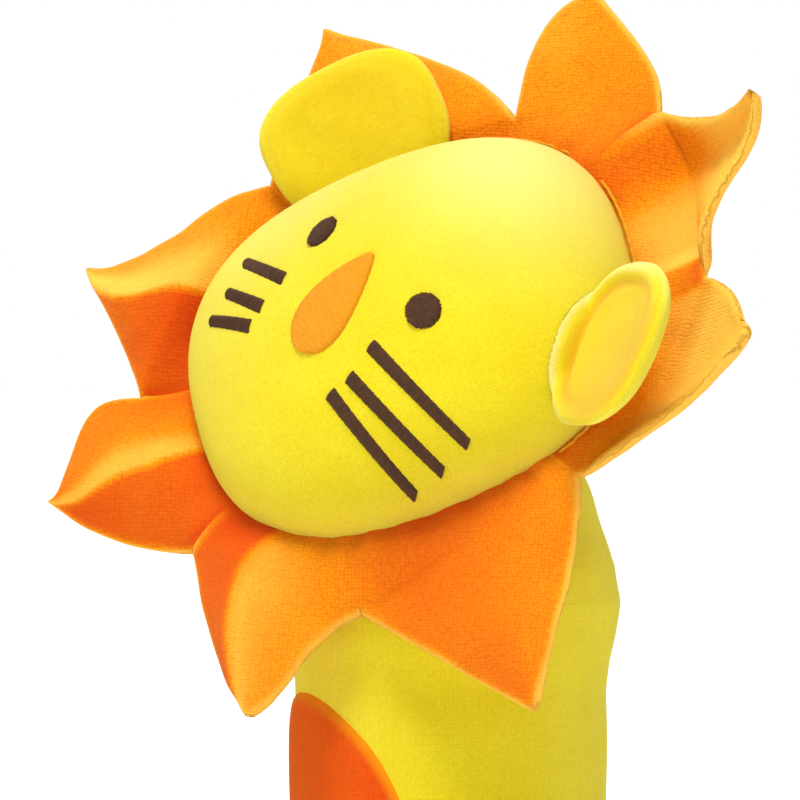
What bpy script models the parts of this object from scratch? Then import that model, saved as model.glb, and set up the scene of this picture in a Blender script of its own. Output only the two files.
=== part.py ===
"""Soft lion stick puppet: a padded tube body with a stick inside, and a round head with a pointed mane.

The frame has +Z up and its origin in the middle of the flat base. The body's front, with the belly
patch, faces -Y, and the lion's left is +X. Head pieces are made in the head's own frame, which has the
same sense (front -Y, left +X, up +Z), and hang from an empty at the middle of the head.
"""
import math

import bmesh
import bpy
from mathutils import Matrix, Vector

MM = 0.001
GAP = 0.3 * MM

# body, from the base up
BODY_RADIUS = 22.5 * MM
BODY_WALL = 1.5 * MM
BASE_THICKNESS = 1.4 * MM
HEM_HEIGHT = 0.4 * MM
CROWN_RADIUS = 8.0 * MM
CROWN_HEIGHT = 103.0 * MM
CREST_RADIUS = 14.5 * MM
CREST_HEIGHT = 100.5 * MM
SHOULDER_RADIUS = 19.8 * MM
SHOULDER_HEIGHT = 95.5 * MM
# radius and height in mm, down the bulge under the mane to the top of the straight tube
BULGE = ((22.2, 88.0), (24.0, 83.0), (24.6, 78.0), (23.8, 73.5), (22.8, 69.5), (22.5, 66.0))
BODY_SIDES = 40

# belly patch: an oval laid round the front of the body
BELLY_HALF_ARC = 24.0 * MM
BELLY_HALF_HEIGHT = 30.0 * MM
BELLY_MIDDLE = 35.5 * MM
PATCH_THICKNESS = 0.8 * MM

# stick inside the body
STICK_WIDTH = 10.0 * MM
STICK_THICKNESS = 2.0 * MM
STICK_BOTTOM = 2.4 * MM
STICK_TOP = 80.0 * MM
STICK_END_STEPS = 8

# head: where its middle is, which way it faces, and the half sizes of its ovoid, which is a little
# squarer than an ellipse round the seam and has its long axis leaning to the lion's left
HEAD_MIDDLE = Vector((9.87, -8.47, 116.0)) * MM
HEAD_FRONT = Vector((0.666, -0.664, 0.339))
HEAD_UP = Vector((0.192, 0.592, 0.783))
HEAD_HALF_WIDTH = 27.9 * MM
HEAD_HALF_HEIGHT = 35.3 * MM
HEAD_FULLNESS = 2.5
HEAD_LEAN = Matrix.Rotation(math.radians(33), 4, "Y")
FACE_DEPTH = 21.6 * MM
BACK_DEPTH = 23.0 * MM
PANEL_THICKNESS = 1.2 * MM
HEAD_SEGMENTS = 32
HEAD_RINGS = 16

# neck: a dished cuff and its stitches, in the room between the head's back and the body's top
NECK_ROOM = 3.9 * MM
CUFF_LIFT = 1.2 * MM
CUFF_THICKNESS = 1.0 * MM
CUFF_HALF_ANGLE = math.radians(30)
NECK_STITCH_RADIUS = 0.5 * MM

# mane: a flat band in the head seam, and eight pointed petals round it
MANE_THICKNESS = 1.2 * MM
VALLEY_HALF_WIDTH = 38.0 * MM
VALLEY_HALF_HEIGHT = 44.0 * MM
FIRST_VALLEY = math.radians(8.5)
PETAL_COUNT = 8
PETAL_ROWS = 8
PETAL_COLUMNS = 6
TIP_SHARE = 0.14
# each petal's length in mm, how far its tip is off to one side in mm, and, in degrees, how far it
# leans forward at its root and how far it curls on from there
PETALS = (
    (20.0, 0.0, 0, 10),
    (25.0, -6.0, 8, 44),
    (24.0, -16.0, 12, 44),
    (27.0, 0.0, 0, 2),
    (24.0, -2.0, 0, 6),
    (22.0, 0.0, 2, 10),
    (19.0, -5.0, 0, 12),
    (16.0, -2.0, 0, 8),
)

# ears: the middle of each fold line, from the head's middle, and how far above level each one points
LEFT_EAR_PLACE = Vector((31.0, -8.0, 14.6)) * MM
LEFT_EAR_RISE = math.radians(24)
RIGHT_EAR_PLACE = Vector((-24.3, -4.1, 17.3)) * MM
RIGHT_EAR_RISE = math.radians(42)
EAR_LEAN = math.radians(40)
EAR_HALF_WIDTH = 13.2 * MM
EAR_HALF_LENGTH = 9.6 * MM
EAR_HALF_THICKNESS = 2.4 * MM
EAR_ROOT = 7.4 * MM

# embroidery on the face: places are across to the lion's left and up from the head's middle
THREAD_LIFT = 0.7 * MM
EYE_RADIUS = 2.6 * MM
EYES = {"left": (10.2 * MM, 4.2 * MM), "right": (-12.7 * MM, 3.9 * MM)}
NOSE_MIDDLE = -2.2 * MM
NOSE_TOP = 6.1 * MM
NOSE_BOTTOM = -11.2 * MM
NOSE_HALF_WIDTH = 4.8 * MM
WHISKER_HALF_WIDTH = 0.95 * MM
# the inner and the outer end of each whisker, in mm
WHISKERS = {
    "left": (((7.2, -4.4), (23.8, -6.8)), ((7.1, -9.8), (22.3, -12.2)), ((5.9, -13.4), (20.2, -17.2))),
    "right": (((-12.4, -4.8), (-21.4, -6.5)), ((-12.7, -9.9), (-20.6, -11.5)), ((-12.6, -13.2), (-20.5, -16.1))),
}


def clear_scene():
    for obj in list(bpy.data.objects):
        bpy.data.objects.remove(obj, do_unlink=True)


def make_collection(name):
    collection = bpy.data.collections.new(name)
    bpy.context.scene.collection.children.link(collection)
    return collection


def make_material(name, color, roughness=0.9):
    material = bpy.data.materials.new(name)
    material.use_nodes = True
    shader = material.node_tree.nodes["Principled BSDF"]
    shader.inputs["Base Color"].default_value = (*color, 1.0)
    shader.inputs["Roughness"].default_value = roughness
    shader.inputs["Metallic"].default_value = 0.0
    material.diffuse_color = (*color, 1.0)
    return material


def add_object(name, data, material, parent=None):
    obj = bpy.data.objects.new(name, data)
    PARTS.objects.link(obj)
    if material:
        data.materials.append(material)
    obj.parent = parent
    return obj


def mesh_from(bm, name):
    bmesh.ops.recalc_face_normals(bm, faces=bm.faces)
    mesh = bpy.data.meshes.new(name)
    bm.to_mesh(mesh)
    bm.free()
    mesh.shade_smooth()
    mesh.set_sharp_from_angle(angle=math.radians(40))
    return mesh


def add_empty(name, matrix, parent=None):
    empty = bpy.data.objects.new(name, None)
    PARTS.objects.link(empty)
    empty.empty_display_size = 10 * MM
    empty.parent = parent
    empty.matrix_local = matrix
    return empty


def solidify(obj, thickness, offset):
    modifier = obj.modifiers.new("thickness", "SOLIDIFY")
    modifier.thickness = thickness
    modifier.offset = offset
    modifier.use_even_offset = True


def cut(obj, cutter):
    modifier = obj.modifiers.new("cut", "BOOLEAN")
    modifier.operation = "DIFFERENCE"
    modifier.solver = "EXACT"
    modifier.object = cutter


# ---------------------------------------------------------------- body


def body_outline(inset):
    """The body's outer profile, top to bottom, moved in by the inset."""
    crown = (CROWN_RADIUS, CROWN_HEIGHT - inset)
    crest = (CREST_RADIUS - inset / 2, CREST_HEIGHT - inset)
    shoulder = (SHOULDER_RADIUS - inset, SHOULDER_HEIGHT - inset / 2)
    return [crown, crest, shoulder] + [(radius * MM - inset, height * MM) for radius, height in BULGE]


def turned(name, profile, closed, material):
    """A profile at +X, turned round the body's axis."""
    mesh = bpy.data.meshes.new(name)
    edges = [(i, i + 1) for i in range(len(profile) - 1)]
    if closed:
        edges.append((len(profile) - 1, 0))
    mesh.from_pydata([(radius, 0, height) for radius, height in profile], edges, [])
    obj = add_object(name, mesh, material)
    screw = obj.modifiers.new("turn", "SCREW")
    screw.steps = screw.render_steps = BODY_SIDES
    screw.use_merge_vertices = True
    screw.merge_threshold = 0.05 * MM
    screw.use_normal_calculate = True
    return obj


def make_body_sleeve():
    outer = body_outline(0) + [(BODY_RADIUS, 4 * HEM_HEIGHT), (BODY_RADIUS - HEM_HEIGHT, HEM_HEIGHT)]
    inner = [(BODY_RADIUS - BODY_WALL, HEM_HEIGHT)] + body_outline(BODY_WALL)[::-1]
    sleeve = turned("body_sleeve", outer + inner, True, YELLOW)
    cut(sleeve, HEAD_ROOM)


def make_body_stuffing():
    inset = BODY_WALL + GAP
    bottom = BASE_THICKNESS + GAP
    profile = [(0, CROWN_HEIGHT - inset)] + body_outline(inset)
    profile += [(BODY_RADIUS - inset, bottom), (0, bottom)]
    stuffing = turned("body_stuffing", profile, False, FILLING)
    cut(stuffing, HEAD_ROOM)
    cut(stuffing, make_stick_room())


def make_base_disc():
    bm = bmesh.new()
    radius = BODY_RADIUS - BODY_WALL - GAP
    bmesh.ops.create_cone(
        bm, cap_ends=True, segments=BODY_SIDES, radius1=radius, radius2=radius, depth=BASE_THICKNESS
    )
    bmesh.ops.translate(bm, verts=bm.verts, vec=(0, 0, BASE_THICKNESS / 2))
    add_object("base_disc", mesh_from(bm, "base_disc"), YELLOW)


def stick_curve(name, clearance, bottom):
    """A flat stick with round ends, seen from the front."""
    half = STICK_WIDTH / 2 + clearance
    points = []
    for end, middle in ((0, STICK_TOP + clearance - half), (math.pi, bottom + half)):
        for i in range(STICK_END_STEPS + 1):
            angle = end + math.pi * i / STICK_END_STEPS
            points.append((half * math.cos(angle), middle + half * math.sin(angle)))
    return flat_curve(name, [points], STICK_THICKNESS / 2 + clearance)


def make_core_stick():
    stick = add_object("core_stick", stick_curve("core_stick", 0.0, STICK_BOTTOM), WOOD)
    stick.rotation_euler = (math.pi / 2, 0, 0)


def make_stick_room():
    """The slot in the filling that the stick stands in, open at the bottom."""
    bottom = STICK_BOTTOM - STICK_WIDTH
    curve = bpy.data.objects.new("stick_room", stick_curve("stick_room", GAP, bottom))
    CUTTERS.objects.link(curve)
    curve.rotation_euler = (math.pi / 2, 0, 0)
    return curve_to_cutter(curve)


def flat_curve(name, outlines, half_thickness):
    curve = bpy.data.curves.new(name, "CURVE")
    curve.dimensions = "2D"
    curve.fill_mode = "BOTH"
    curve.extrude = half_thickness
    for points in outlines:
        spline = curve.splines.new("POLY")
        spline.points.add(len(points) - 1)
        for point, (x, y) in zip(spline.points, points):
            point.co = (x, y, 0, 1)
        spline.use_cyclic_u = True
    return curve


def curve_to_cutter(curve_object):
    bpy.context.view_layer.update()
    evaluated = curve_object.evaluated_get(bpy.context.evaluated_depsgraph_get())
    mesh = bpy.data.meshes.new_from_object(evaluated)
    bm = bmesh.new()
    bm.from_mesh(mesh)
    bmesh.ops.remove_doubles(bm, verts=bm.verts, dist=0.00001)
    bmesh.ops.recalc_face_normals(bm, faces=bm.faces)
    bm.to_mesh(mesh)
    bm.free()
    cutter = bpy.data.objects.new(curve_object.name + "_cutter", mesh)
    CUTTERS.objects.link(cutter)
    cutter.matrix_world = curve_object.matrix_world
    bpy.data.objects.remove(curve_object, do_unlink=True)
    cutter.hide_render = True
    cutter.display_type = "WIRE"
    return cutter


def disc_sheet(name, outline, place, sides, shares):
    """A flat disc of rings inside an outline, with each point then placed on a surface."""
    bm = bmesh.new()
    rings = []
    for share in shares:
        ring = []
        for i in range(sides):
            x, y = outline(2 * math.pi * i / sides)
            ring.append(bm.verts.new(place(x * share, y * share)))
        rings.append(ring)
    middle = bm.verts.new(place(0, 0))
    for outer, inner in zip(rings, rings[1:]):
        for i in range(sides):
            j = (i + 1) % sides
            bm.faces.new((outer[i], outer[j], inner[j], inner[i]))
    for i in range(sides):
        bm.faces.new((rings[-1][i], rings[-1][(i + 1) % sides], middle))
    return mesh_from(bm, name)


def make_belly_patch():
    """An oval wrapped on the body's front and thickened outwards."""
    radius = BODY_RADIUS + GAP

    def place(arc, height):
        angle = arc / BODY_RADIUS
        return Vector((radius * math.sin(angle), -radius * math.cos(angle), BELLY_MIDDLE + height))

    def oval(t):
        return BELLY_HALF_ARC * math.cos(t), BELLY_HALF_HEIGHT * math.sin(t)

    rings = (1.0, 0.85, 0.7, 0.55, 0.4, 0.25, 0.12)
    patch = add_object("belly_patch", disc_sheet("belly_patch", oval, place, 36, rings), RED_ORANGE)
    face_towards(patch, Vector((0, -1, 0)))
    solidify(patch, PATCH_THICKNESS, 1)


def face_towards(obj, direction):
    """Turns an open sheet's faces so that on the whole they look along the direction."""
    facing = sum(poly.normal.dot(direction) * poly.area for poly in obj.data.polygons)
    if facing < 0:
        obj.data.flip_normals()


# ---------------------------------------------------------------- head


def ovoid_bmesh(front_depth, back_depth, half_width, half_height):
    """A closed ovoid with its poles at the front and the back and its rings parallel to the seam."""
    bm = bmesh.new()
    bmesh.ops.create_uvsphere(bm, u_segments=HEAD_SEGMENTS, v_segments=HEAD_RINGS, radius=1.0)
    bmesh.ops.rotate(bm, verts=bm.verts, matrix=Matrix.Rotation(math.pi / 2, 3, "X"))
    for vert in bm.verts:
        x, y, z = vert.co
        depth = front_depth if y < 0 else back_depth
        fuller = math.hypot(x, z) / max(fullness_norm(x, z), 1e-9)
        vert.co = HEAD_LEAN @ Vector((x * fuller * half_width, y * depth, z * fuller * half_height))
    return bm


def fullness_norm(x, z):
    """How far out a point is, as a share of an outline that is a little squarer than a circle."""
    return (abs(x) ** HEAD_FULLNESS + abs(z) ** HEAD_FULLNESS) ** (1 / HEAD_FULLNESS)


def half_ovoid(name, depth, side):
    """An open dome on one side of the head seam: side -1 is the face, 1 is the back."""
    rim = MANE_THICKNESS / 2 + GAP
    bm = ovoid_bmesh(depth - rim, depth - rim, HEAD_HALF_WIDTH, HEAD_HALF_HEIGHT)
    extra = [vert for vert in bm.verts if vert.co.y * side < -1e-6]
    bmesh.ops.delete(bm, geom=extra, context="VERTS")
    bmesh.ops.translate(bm, verts=bm.verts, vec=(0, side * rim, 0))
    mesh = mesh_from(bm, name)
    panel = add_object(name, mesh, YELLOW, HEAD)
    face_towards(panel, Vector((0, side, 0)))
    solidify(panel, PANEL_THICKNESS, -1)


def make_head_stuffing():
    inset = PANEL_THICKNESS + GAP
    bm = ovoid_bmesh(
        FACE_DEPTH - inset, BACK_DEPTH - inset, HEAD_HALF_WIDTH - inset, HEAD_HALF_HEIGHT - inset
    )
    add_object("head_stuffing", mesh_from(bm, "head_stuffing"), FILLING, HEAD)


def make_head_room():
    """The room that the body's top leaves for the head to rock in: the head's ovoid, grown."""
    grown = [size + NECK_ROOM for size in (FACE_DEPTH, BACK_DEPTH, HEAD_HALF_WIDTH, HEAD_HALF_HEIGHT)]
    bm = ovoid_bmesh(*grown)
    bmesh.ops.transform(bm, matrix=HEAD_MATRIX, verts=bm.verts)
    room = bpy.data.objects.new("head_room", mesh_from(bm, "head_room"))
    CUTTERS.objects.link(room)
    room.hide_render = True
    room.display_type = "WIRE"
    return room


def face_point(x, z, lift=0.0):
    """The point of the face panel at x and z from its middle, raised along its outward normal."""
    point = Vector((x, face_depth(x, z), z))
    step = 0.1 * MM
    slope_x = (face_depth(x + step, z) - face_depth(x - step, z)) / (2 * step)
    slope_z = (face_depth(x, z + step) - face_depth(x, z - step)) / (2 * step)
    return point + Vector((slope_x, -1, slope_z)).normalized() * lift


def face_depth(x, z):
    """The face panel's y at x and z."""
    rim = MANE_THICKNESS / 2 + GAP
    across, _, along = HEAD_LEAN.inverted() @ Vector((x, 0, z))
    share = fullness_norm(across / HEAD_HALF_WIDTH, along / HEAD_HALF_HEIGHT)
    return -rim - (FACE_DEPTH - rim) * math.sqrt(max(0.0, 1 - share**2))


def embroider(name, outline, middle, material, sides):
    """A thin raised patch of thread that follows the face."""

    def place(x, z):
        return face_point(middle[0] + x, middle[1] + z, GAP)

    patch = add_object(name, disc_sheet(name, outline, place, sides, (1.0, 0.55)), material, HEAD)
    face_towards(patch, Vector((0, -1, 0)))
    solidify(patch, THREAD_LIFT, 1)


def make_eye(name, place):
    def circle(t):
        return EYE_RADIUS * math.cos(t), EYE_RADIUS * math.sin(t)

    embroider(name, circle, place, BROWN, 16)


def make_nose():
    """A teardrop with its point up: a round lower end that narrows to the bridge of the nose."""
    half = (NOSE_TOP - NOSE_BOTTOM) / 2

    def teardrop(t):
        width = NOSE_HALF_WIDTH * math.cos(t) * (1 - 0.62 * (1 + math.sin(t)) / 2) * 1.22
        return width, half * math.sin(t)

    embroider("nose_patch", teardrop, (NOSE_MIDDLE, NOSE_BOTTOM + half), ORANGE, 24)


def make_whisker(name, inner, outer):
    """A bar of satin stitch that narrows a little towards its outer end."""
    inner, outer = Vector(inner) * MM, Vector(outer) * MM
    steps = 5
    bm = bmesh.new()
    rows = []
    for i in range(steps + 1):
        share = i / steps
        x, z = inner.lerp(outer, share)
        half = WHISKER_HALF_WIDTH * (1 - 0.35 * share)
        rows.append([bm.verts.new(face_point(x, z + edge * half, GAP)) for edge in (-1, 0, 1)])
    for row, following in zip(rows, rows[1:]):
        for j in range(2):
            bm.faces.new((row[j], row[j + 1], following[j + 1], following[j]))
    whisker = add_object(name, mesh_from(bm, name), BROWN, HEAD)
    face_towards(whisker, Vector((0, -1, 0)))
    solidify(whisker, THREAD_LIFT, 1)


# ---------------------------------------------------------------- neck


def head_surface(direction, lift):
    """The point of the head's ovoid in a direction from its middle, raised by the lift."""
    depth = FACE_DEPTH if direction.y < 0 else BACK_DEPTH
    x, y, z = HEAD_LEAN.inverted() @ direction
    share = math.hypot(fullness_norm(x / HEAD_HALF_WIDTH, z / HEAD_HALF_HEIGHT), y / depth)
    return direction * (1 / share + lift)


def neck_direction():
    """From the head's middle to the middle of the body's top, in the head's frame."""
    top = HEAD_MATRIX.inverted() @ Vector((0, 0, SHOULDER_HEIGHT - 5 * MM))
    return top.normalized()


def neck_point(away, around, lift):
    """A point over the head's surface, at an angle away from the neck's middle line and around it."""
    turn = Vector((0, 0, 1)).rotation_difference(neck_direction()).to_matrix()
    across = math.sin(away)
    direction = turn @ Vector((across * math.cos(around), across * math.sin(around), math.cos(away)))
    return head_surface(direction, lift)


def make_neck_cuff():
    """The disc of fabric that closes the body's top, dished where the head sits in it."""

    def place(x, y):
        return neck_point(math.hypot(x, y), math.atan2(y, x), CUFF_LIFT)

    def circle(t):
        return CUFF_HALF_ANGLE * math.cos(t), CUFF_HALF_ANGLE * math.sin(t)

    sheet = disc_sheet("neck_cuff", circle, place, 24, (1.0, 0.72, 0.4))
    cuff = add_object("neck_cuff", sheet, YELLOW, HEAD)
    face_towards(cuff, neck_direction())
    solidify(cuff, CUFF_THICKNESS, 1)


def make_neck_stitching():
    """A ring of thread round the cuff, where the body is sewn to the head."""
    away = CUFF_HALF_ANGLE + math.radians(4)
    curve = bpy.data.curves.new("neck_stitching", "CURVE")
    curve.dimensions = "3D"
    curve.bevel_depth = NECK_STITCH_RADIUS
    curve.bevel_resolution = 1
    spline = curve.splines.new("POLY")
    count = 28
    spline.points.add(count - 1)
    for i, point in enumerate(spline.points):
        around = 2 * math.pi * i / count
        point.co = (*neck_point(away, around, CUFF_LIFT + NECK_STITCH_RADIUS), 1)
    spline.use_cyclic_u = True
    add_object("neck_stitching", curve, THREAD, HEAD)


# ---------------------------------------------------------------- mane


def valley(index):
    """The corner between two petals, in the seam's plane, as x and z."""
    angle = FIRST_VALLEY + 2 * math.pi * index / PETAL_COUNT
    return Vector((VALLEY_HALF_WIDTH * math.sin(angle), VALLEY_HALF_HEIGHT * math.cos(angle)))


def make_mane_band():
    """The flat band of the mane: an eight-sided edge, and an oval hole that the head's filling fills."""
    outer = [valley(i) * 0.992 for i in range(PETAL_COUNT)]
    inset = PANEL_THICKNESS - 0.2 * MM
    inner = []
    for i in range(HEAD_SEGMENTS):
        x = math.sin(2 * math.pi * i / HEAD_SEGMENTS)
        z = math.cos(2 * math.pi * i / HEAD_SEGMENTS)
        fuller = 1 / fullness_norm(x, z)
        across = fuller * x * (HEAD_HALF_WIDTH - inset)
        along = fuller * z * (HEAD_HALF_HEIGHT - inset)
        place = HEAD_LEAN @ Vector((across, 0, along))
        inner.append((place.x, place.z))
    curve = flat_curve("mane_band", [outer, inner], MANE_THICKNESS / 2)
    band = add_object("mane_band", curve, ORANGE, HEAD)
    band.rotation_euler = (math.pi / 2, 0, 0)


def make_petal(index, length, slant, lean, curl):
    """A pointed, double-layer flap of cloth, hinged on its side of the band."""
    left = valley(index - 1)
    right = valley(index)
    middle = (left + right) / 2
    along = (right - left).normalized()
    out = Vector((middle.x, middle.y)).normalized()
    out = (out - along * out.dot(along)).normalized()
    hinge = Matrix(
        (
            (along.x, 0, out.x, middle.x),
            (0, 1, 0, 0),
            (along.y, 0, out.y, middle.y),
            (0, 0, 0, 1),
        )
    )
    pivot = add_empty(f"mane_petal_{index + 1}_hinge", hinge, HEAD)
    base_half = (right - left).length / 2 - GAP
    bm = bmesh.new()
    rows = []
    reach, forward = GAP, 0.0
    step = length * MM / PETAL_ROWS
    for row in range(PETAL_ROWS + 1):
        share = row / PETAL_ROWS
        half = base_half * ((1 - share) * (1 - TIP_SHARE) + TIP_SHARE * math.sqrt(1 - share**3))
        half = max(half, 0.9 * MM)
        line = []
        for column in range(PETAL_COLUMNS + 1):
            across = half * (2 * column / PETAL_COLUMNS - 1) + slant * MM * share
            line.append(bm.verts.new((across, -forward, reach)))
        rows.append(line)
        angle = math.radians(lean + curl * share)
        reach += step * math.cos(angle)
        forward += step * math.sin(angle)
    for line, following in zip(rows, rows[1:]):
        for column in range(PETAL_COLUMNS):
            bm.faces.new((line[column], line[column + 1], following[column + 1], following[column]))
    name = f"mane_petal_{index + 1}"
    petal = add_object(name, mesh_from(bm, name), ORANGE, pivot)
    face_towards(petal, Vector((0, -1, 0)))
    solidify(petal, MANE_THICKNESS, 0)


# ---------------------------------------------------------------- ears


def ear_frame(place, side, rise):
    """The ear's own frame, on its fold line: X runs up the head's edge, Z outwards, -Y is its front."""
    outward = Vector((side * math.cos(rise), 0, math.sin(rise)))
    out = outward * math.cos(EAR_LEAN) + Vector((0, -1, 0)) * math.sin(EAR_LEAN)
    back = outward * math.sin(EAR_LEAN) + Vector((0, 1, 0)) * math.cos(EAR_LEAN)
    up = back.cross(out)
    return Matrix(
        (
            (up.x, back.x, out.x, place.x),
            (up.y, back.y, out.y, place.y),
            (up.z, back.z, out.z, place.z),
            (0, 0, 0, 1),
        )
    )


def make_ear(name, place, side, rise):
    """Two facing half lenses of padded cloth, cut straight along the fold line."""
    pivot = add_empty(name + "_hinge", ear_frame(place, side, rise), HEAD)
    for layer, facing in (("front", -1), ("back", 1)):
        bm = bmesh.new()
        bmesh.ops.create_uvsphere(bm, u_segments=28, v_segments=12, radius=1.0)
        bmesh.ops.rotate(bm, verts=bm.verts, matrix=Matrix.Rotation(math.pi / 2, 3, "X"))
        bmesh.ops.scale(bm, verts=bm.verts, vec=(EAR_HALF_WIDTH, EAR_HALF_THICKNESS, EAR_HALF_LENGTH))
        bmesh.ops.translate(bm, verts=bm.verts, vec=(0, 0, EAR_ROOT))
        slice_off(bm, (0, facing * GAP / 2, 0), (0, -facing, 0))
        slice_off(bm, (0, 0, 0), (0, 0, -1))
        add_object(f"{name}_{layer}", mesh_from(bm, f"{name}_{layer}"), YELLOW, pivot)


def slice_off(bm, point, outward):
    """Cuts away what lies beyond a plane, and closes the cut."""
    geometry = bm.verts[:] + bm.edges[:] + bm.faces[:]
    result = bmesh.ops.bisect_plane(
        bm, geom=geometry, plane_co=point, plane_no=outward, clear_outer=True, dist=1e-7
    )
    edges = [item for item in result["geom_cut"] if isinstance(item, bmesh.types.BMEdge)]
    bmesh.ops.contextual_create(bm, geom=edges)


# ---------------------------------------------------------------- assembly

clear_scene()
PARTS = make_collection("lion_stick_puppet")
CUTTERS = make_collection("cutters")

YELLOW = make_material("yellow_plush", (0.80, 0.62, 0.02))
ORANGE = make_material("orange_cloth", (0.85, 0.24, 0.01))
RED_ORANGE = make_material("red_orange_cloth", (0.78, 0.10, 0.01))
BROWN = make_material("brown_thread", (0.10, 0.035, 0.015), 0.7)
THREAD = make_material("yellow_thread", (0.70, 0.55, 0.05), 0.7)
FILLING = make_material("white_fibre", (0.85, 0.85, 0.82))
WOOD = make_material("birch", (0.62, 0.45, 0.26), 0.65)

front = HEAD_FRONT.normalized()
up = (HEAD_UP - front * HEAD_UP.dot(front)).normalized()
left = (-front).cross(up)
HEAD_MATRIX = Matrix.Translation(HEAD_MIDDLE) @ Matrix((left, -front, up)).transposed().to_4x4()
HEAD = add_empty("head_middle", HEAD_MATRIX)

HEAD_ROOM = make_head_room()
make_body_sleeve()
make_belly_patch()
make_base_disc()
make_body_stuffing()
make_core_stick()
make_neck_cuff()
make_neck_stitching()
half_ovoid("face_panel", FACE_DEPTH, -1)
half_ovoid("head_back_panel", BACK_DEPTH, 1)
make_head_stuffing()
make_nose()
make_mane_band()
for petal_index, petal_shape in enumerate(PETALS):
    make_petal(petal_index, *petal_shape)
make_ear("ear_left", LEFT_EAR_PLACE, 1, LEFT_EAR_RISE)
make_ear("ear_right", RIGHT_EAR_PLACE, -1, RIGHT_EAR_RISE)
for word in ("left", "right"):
    make_eye(f"eye_{word}", EYES[word])
    for number, (inner_end, outer_end) in enumerate(WHISKERS[word], 1):
        make_whisker(f"whisker_{word}_{number}", inner_end, outer_end)
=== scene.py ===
"""The looks of the soft lion stick puppet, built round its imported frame.

Pieces are made in millimetres in a local frame, with the same sense everywhere: front -Y, the lion's
left +X, up +Z. The head's frame sits in the middle of the head.
"""

import math
from collections import namedtuple

import bmesh
import bpy
import numpy as np
from mathutils import Matrix, Vector, noise
from mathutils.bvhtree import BVHTree


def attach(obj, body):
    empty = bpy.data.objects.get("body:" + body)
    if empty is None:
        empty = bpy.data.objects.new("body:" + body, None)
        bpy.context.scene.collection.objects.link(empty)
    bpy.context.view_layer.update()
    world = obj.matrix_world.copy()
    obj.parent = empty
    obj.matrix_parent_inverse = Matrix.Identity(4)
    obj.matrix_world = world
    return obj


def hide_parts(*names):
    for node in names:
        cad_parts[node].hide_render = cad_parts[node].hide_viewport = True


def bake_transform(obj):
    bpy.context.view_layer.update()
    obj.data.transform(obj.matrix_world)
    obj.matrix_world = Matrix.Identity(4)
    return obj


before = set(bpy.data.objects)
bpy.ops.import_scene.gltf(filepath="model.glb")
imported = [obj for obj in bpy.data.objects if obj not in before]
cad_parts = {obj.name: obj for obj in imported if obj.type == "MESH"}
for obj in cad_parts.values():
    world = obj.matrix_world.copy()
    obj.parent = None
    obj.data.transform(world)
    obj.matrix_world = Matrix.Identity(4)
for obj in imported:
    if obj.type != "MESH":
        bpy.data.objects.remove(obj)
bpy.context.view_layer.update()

MM = 0.001

# the head's frame, as in the CAD, and the ovoid of its stuffed plush
HEAD_MIDDLE = Vector((9.87, -8.47, 116.0)) * MM
HEAD_FRONT = Vector((0.666, -0.664, 0.339)).normalized()
HEAD_UP = Vector((0.192, 0.592, 0.783))
HEAD_UP = (HEAD_UP - HEAD_FRONT * HEAD_UP.dot(HEAD_FRONT)).normalized()
HEAD = Matrix.Translation(HEAD_MIDDLE) @ Matrix(
    ((-HEAD_FRONT).cross(HEAD_UP), -HEAD_FRONT, HEAD_UP)
).transposed().to_4x4()
HEAD_INVERSE = HEAD.inverted()
OVOID_MIDDLE = (0.5, -0.13)
HALF_WIDTH = 27.6
HALF_HEIGHT = 35.2
FACE_DEPTH = 21.0
BACK_DEPTH = 22.5
FULLNESS = 2.5
BULGE_POWER = 1.1
LEAN = math.radians(32.5)


# ---------------------------------------------------------------- camera, light and floor

CAMERA_AZIMUTH = math.radians(72.0)
CAMERA_ELEVATION = math.radians(1.0)
CAMERA_AIM = Vector((-0.0024, -0.0070, 0.1073))
CAMERA_DISTANCE = 2.0
VIEW_WIDTH = 0.116


def make_camera():
    data = bpy.data.cameras.new("camera")
    camera = bpy.data.objects.new("camera", data)
    bpy.context.scene.collection.objects.link(camera)
    flat = math.cos(CAMERA_ELEVATION)
    back = Vector(
        (math.sin(CAMERA_AZIMUTH) * flat, -math.cos(CAMERA_AZIMUTH) * flat, math.sin(CAMERA_ELEVATION))
    )
    camera.location = CAMERA_AIM + back * CAMERA_DISTANCE
    camera.rotation_mode = "QUATERNION"
    camera.rotation_quaternion = (-back).to_track_quat("-Z", "Y")
    data.lens = data.sensor_width * CAMERA_DISTANCE / VIEW_WIDTH
    data.clip_start = 0.01
    data.clip_end = 20
    bpy.context.scene.camera = camera


def make_lamp(name, azimuth, elevation, distance, size, power):
    """A square soft light that looks at the head, from an azimuth like the camera's."""
    data = bpy.data.lights.new(name, "AREA")
    data.size = size
    data.energy = power
    lamp = bpy.data.objects.new(name, data)
    bpy.context.scene.collection.objects.link(lamp)
    a, e = math.radians(azimuth), math.radians(elevation)
    back = Vector((math.sin(a) * math.cos(e), -math.cos(a) * math.cos(e), math.sin(e)))
    lamp.location = HEAD_MIDDLE + back * distance
    lamp.rotation_mode = "QUATERNION"
    lamp.rotation_quaternion = (-back).to_track_quat("-Z", "Y")


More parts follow.
